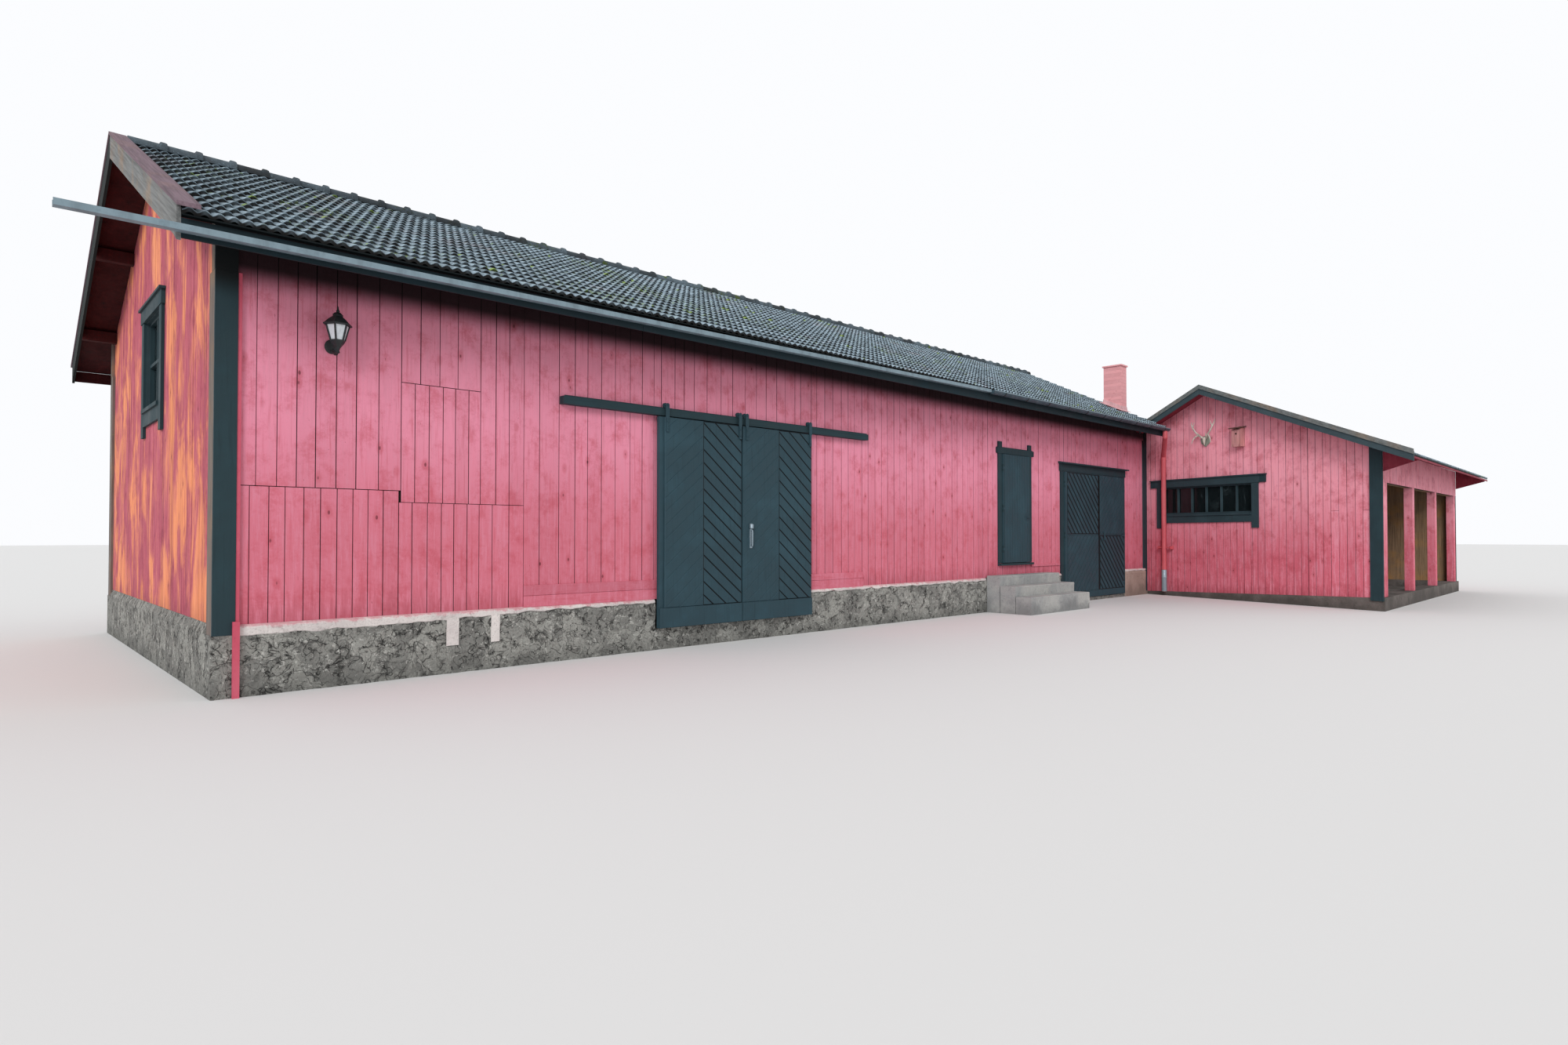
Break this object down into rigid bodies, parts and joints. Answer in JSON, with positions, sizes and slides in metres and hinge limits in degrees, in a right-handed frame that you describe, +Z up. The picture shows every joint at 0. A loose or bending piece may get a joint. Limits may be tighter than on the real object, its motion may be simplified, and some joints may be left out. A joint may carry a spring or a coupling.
{
  "type": "red timber barn",
  "caption": "Long red board-clad barn on a stone plinth with sliding and double doors, an entrance over granite steps, tiled gable roofs and a skewed side wing.",
  "frame": {"origin": "front left corner of the main barn's walls at the lowest ground, on the plinth's underside", "axes": "+X along the front wall towards the side wing, +Y into the barn, +Z up"},
  "size_m": [26.05, 12.8906, 5.7235],
  "materials": {
    "stone": "weathered field stone with lime mortar",
    "granite": "split granite, rough",
    "red_boards": "sawn boards in faded falu red",
    "dark_boards": "planed boards in black-green paint",
    "door_boards": "planed boards in black-green paint",
    "weathered_boards": "bare weathered boards",
    "floor_boards": "worn bare planks",
    "roof_tiles": "matt dark pantiles with moss",
    "render": "painted render over brick",
    "galvanised": "weathered galvanised sheet",
    "dark_metal": "dark paint, weathered",
    "red_metal": "faded red paint",
    "panes": "old window glass",
    "antler": "weathered oak shield with bone"
  },
  "bodies": {
    "barn": {"front_plinth": "stone", "back_plinth": "stone", "wing_plinth": "stone", "floor_slabs": "stone", "raised_floor": "floor_boards", "front_wall_left": "red_boards", "walls_round_doors": "red_boards", "front_wall_middle": "red_boards", "front_wall_between_doors": "red_boards", "front_wall_end": "red_boards", "left_gable_wall": "red_boards", "rear_wall": "red_boards", "end_gable_wall": "red_boards", "main_roof_front": "roof_tiles", "main_roof_rear": "roof_tiles", "main_ridge": "roof_tiles", "barge_boards": "weathered_boards", "verge_planks": "weathered_boards", "gable_purlins": "red_boards", "eave_boards": "dark_boards", "box_gutter": "galvanised", "round_gutter": "dark_metal", "downpipe": "red_metal", "chimney": "render", "corner_boards": "dark_boards", "gable_corner_boards": "weathered_boards", "sliding_track": "dark_metal", "entrance_casing": "dark_boards", "double_door_casing": "dark_boards", "gable_window": "dark_boards", "wing_window": "dark_boards", "window_glass": "panes", "wing_gable_wall": "red_boards", "wing_side_walls": "red_boards", "wing_roof": "roof_tiles", "wing_barge_boards": "dark_boards", "wing_verge_boards": "weathered_boards", "wing_eave_ends": "red_boards", "granite_steps": "granite", "wall_lantern": "dark_metal", "nest_box": "red_boards", "antler_trophy": "antler", "cable_guard": "red_metal"},
    "left_sliding_leaf": {"left_sliding_door": "door_boards"},
    "right_sliding_leaf": {"right_sliding_door": "door_boards"},
    "entrance_leaf": {"entrance_door": "door_boards"},
    "double_leaf_left": {"double_door_left": "door_boards"},
    "double_leaf_right": {"double_door_right": "door_boards"}
  },
  "joints": [
    {"name": "left_door_slide", "type": "slide", "parent": "barn", "child": "left_sliding_leaf", "axis": [-1, 0, 0], "range_m": [0, 1.2]},
    {"name": "right_door_slide", "type": "slide", "parent": "barn", "child": "right_sliding_leaf", "axis": [1, 0, 0], "range_m": [0, 1.2]},
    {"name": "entrance_hinge", "type": "hinge", "parent": "barn", "child": "entrance_leaf", "pos_m": [11.93, -0.05, 0.85], "axis": [0, 0, -1], "range_deg": [0, 100]},
    {"name": "double_left_hinge", "type": "hinge", "parent": "barn", "child": "double_leaf_left", "pos_m": [14.21, -0.05, 0.08], "axis": [0, 0, -1], "range_deg": [0, 110]},
    {"name": "double_right_hinge", "type": "hinge", "parent": "barn", "child": "double_leaf_right", "pos_m": [16.898, -0.05, 0.08], "axis": [0, 0, 1], "range_deg": [0, 105]}
  ]
}
